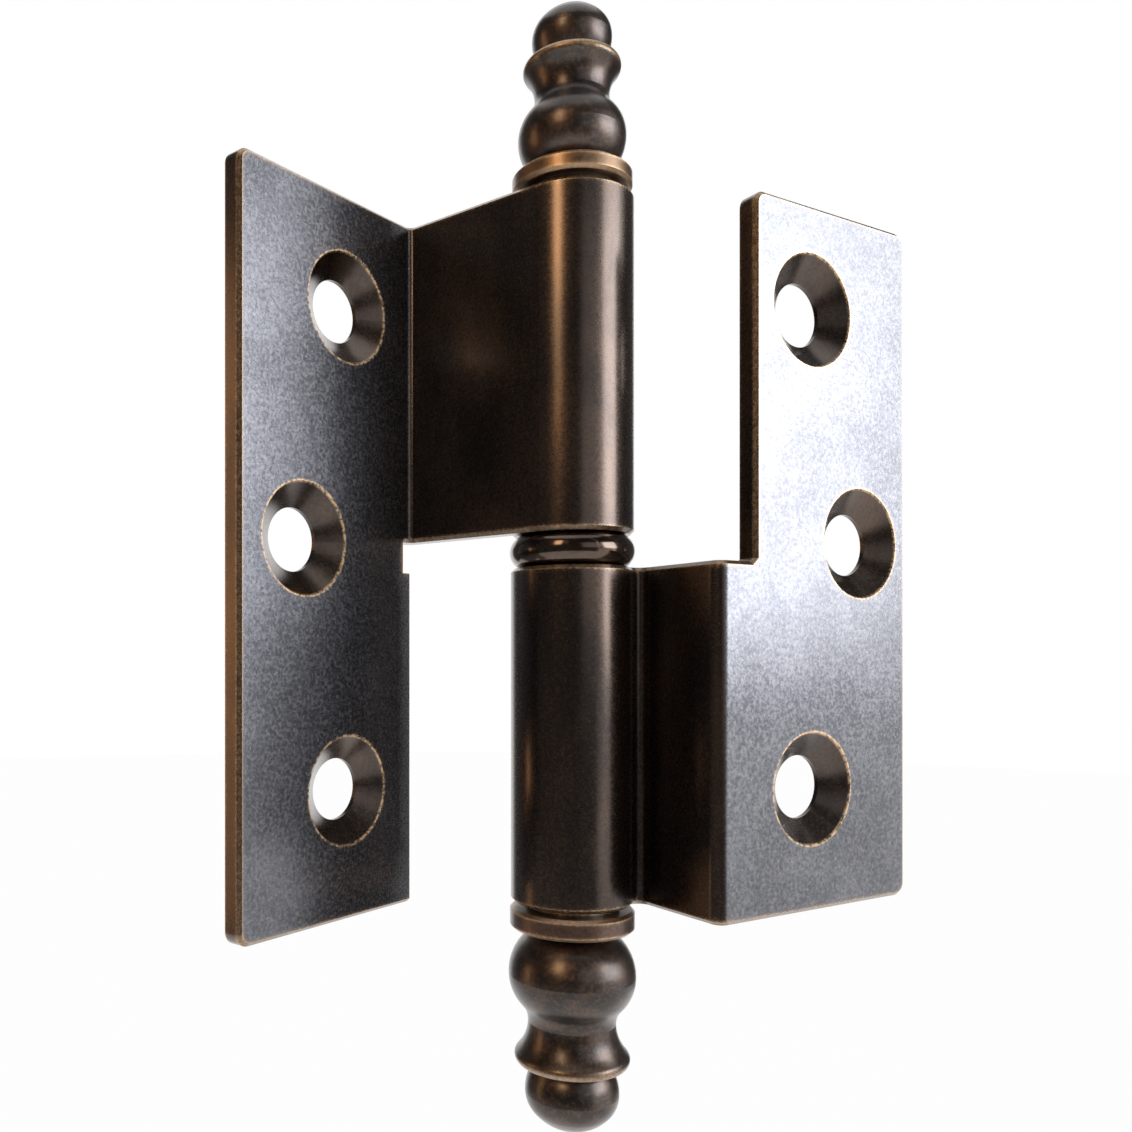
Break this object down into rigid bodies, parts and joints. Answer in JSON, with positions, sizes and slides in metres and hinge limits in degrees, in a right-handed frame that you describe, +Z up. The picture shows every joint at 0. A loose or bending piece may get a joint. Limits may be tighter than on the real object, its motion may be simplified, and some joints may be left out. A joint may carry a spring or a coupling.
{
  "type": "lift-off cranked cabinet hinge",
  "caption": "Cranked lift-off cabinet hinge: two folded leaves with countersunk screw holes, a bearing ring on the pin and turned finials.",
  "frame": {"origin": "middle of the lower leaf's upper and lower screw holes, on the face that lies against the wood", "axes": "+X along the lower leaf away from the pin, +Y into the wood behind the lower leaf, +Z up along the pin"},
  "size_m": [0.0457, 0.0212, 0.0784],
  "materials": {
    "patinated_leaf": "antique brass, dark patina worn bright on the edges",
    "turned_brass": "dark bronzed brass, rubbed on the collars",
    "ring_bronze": "polished dark bronze",
    "pin_steel": "drawn bright steel"
  },
  "bodies": {
    "frame_leaf": {"lower_leaf": "patinated_leaf", "hinge_pin": "pin_steel", "lower_finial": "turned_brass"},
    "ring": {"bearing_ring": "ring_bronze"},
    "door_leaf": {"upper_leaf": "patinated_leaf", "upper_finial": "turned_brass"}
  },
  "joints": [
    {"name": "swing", "type": "hinge", "parent": "frame_leaf", "child": "ring", "pos_m": [-0.01215, 0.0087, 0.0001], "axis": [0, 0, 1], "range_deg": [-110, 160]},
    {"name": "lift_off", "type": "slide", "parent": "ring", "child": "door_leaf", "axis": [0, 0, 1], "range_m": [0, 0.02]}
  ]
}
